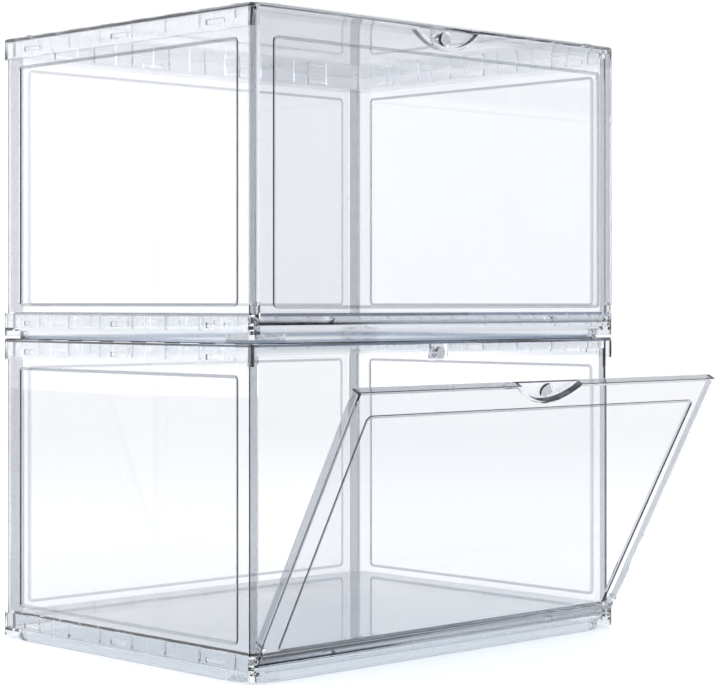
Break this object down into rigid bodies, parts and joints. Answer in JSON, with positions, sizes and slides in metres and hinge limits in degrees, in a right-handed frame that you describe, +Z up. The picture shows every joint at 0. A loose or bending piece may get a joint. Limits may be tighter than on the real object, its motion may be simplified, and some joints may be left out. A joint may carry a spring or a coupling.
{
  "type": "shoe box",
  "caption": "Stack of clear plastic drop-front shoe boxes; the long front door of each swings down on bottom pins, and the upper box lifts off.",
  "frame": {"origin": "on the floor at the middle of the closed boxes' footprint", "axes": "+X along the door, towards the right of someone facing it; -Y is the door side; +Z up"},
  "size_m": [0.36, 0.3752, 0.4374],
  "materials": {
    "clear_plastic": "glossy, clear, very slightly blue",
    "magnet": "nickel plated"
  },
  "bodies": {
    "lower_box": {"lower_base": "clear_plastic", "lower_lid": "clear_plastic", "lower_left_side_panel": "clear_plastic", "lower_right_side_panel": "clear_plastic", "lower_back_panel": "clear_plastic", "lower_lid_magnet": "magnet", "lower_lid_magnet_cap": "clear_plastic"},
    "lower_door": {"lower_door": "clear_plastic", "lower_door_magnet": "magnet", "lower_door_magnet_cap": "clear_plastic"},
    "upper_box": {"upper_base": "clear_plastic", "upper_lid": "clear_plastic", "upper_left_side_panel": "clear_plastic", "upper_right_side_panel": "clear_plastic", "upper_back_panel": "clear_plastic", "upper_lid_magnet": "magnet", "upper_lid_magnet_cap": "clear_plastic"},
    "upper_door": {"upper_door": "clear_plastic", "upper_door_magnet": "magnet", "upper_door_magnet_cap": "clear_plastic"}
  },
  "joints": [
    {"name": "lower_door_hinge", "type": "hinge", "parent": "lower_box", "child": "lower_door", "pos_m": [0, -0.1367, 0.0146], "axis": [1, 0, 0], "range_deg": [-28.5, 61.5]},
    {"name": "upper_box_lift", "type": "slide", "parent": "lower_box", "child": "upper_box", "axis": [0, 0, 1], "range_m": [0, 0.06]},
    {"name": "upper_door_hinge", "type": "hinge", "parent": "upper_box", "child": "upper_door", "pos_m": [0, -0.1367, 0.2326], "axis": [1, 0, 0], "range_deg": [0, 90]}
  ]
}
